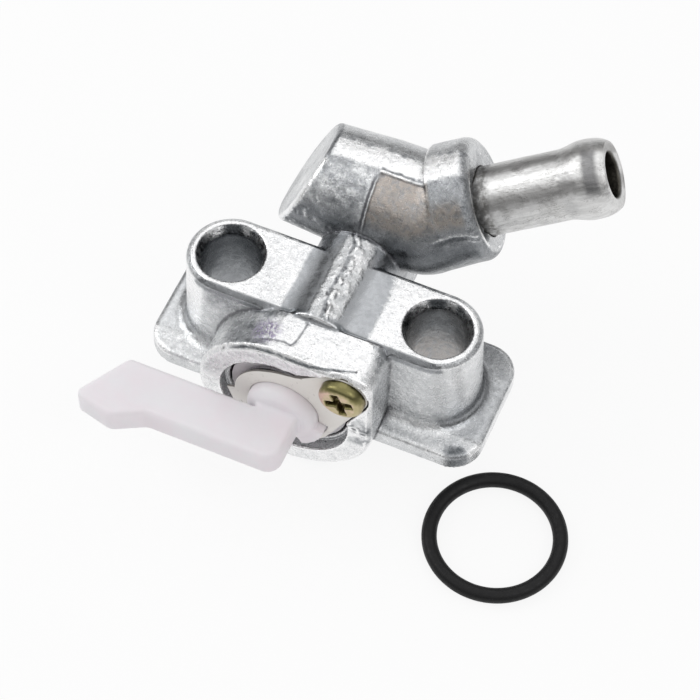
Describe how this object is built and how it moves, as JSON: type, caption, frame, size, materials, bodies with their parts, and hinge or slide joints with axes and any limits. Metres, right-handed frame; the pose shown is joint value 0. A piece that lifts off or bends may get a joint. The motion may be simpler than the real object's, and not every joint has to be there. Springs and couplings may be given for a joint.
{
  "type": "fuel tap",
  "caption": "Die-cast fuel tap with a bolt-on flange, an inlet spigot, a rotary valve turned by a lever, and an angled hose tail.",
  "frame": {"origin": "midway between the two bolt holes, on the flange's bolting face", "axes": "+X from the left bolt hole to the right one, +Y from the lever to the outlet, +Z out of the ears"},
  "size_m": [0.0764, 0.0615, 0.0453],
  "materials": {
    "casting": "as die-cast, rough, with sawn and scuffed faces",
    "gasket_rubber": "matt",
    "nylon": "soft satin, off-white",
    "spring_steel": "bright",
    "plate": "satin cream white",
    "yellow_zinc": "yellow passivated zinc plate",
    "bright_steel": "smooth bright",
    "ring_rubber": "satin black"
  },
  "bodies": {
    "root": {"tap_body": "casting", "port_gasket": "gasket_rubber", "spring_washer": "spring_steel", "retainer_plate": "plate", "retainer_screw": "yellow_zinc", "hose_tail": "bright_steel", "sealing_ring": "ring_rubber"},
    "lever": {"lever": "nylon"}
  },
  "joints": [
    {"name": "lever_turn", "type": "hinge", "parent": "root", "child": "lever", "pos_m": [-0.0021, -0.0108, 0.0054], "axis": [0, 1, 0], "range_deg": [0, 90]}
  ]
}
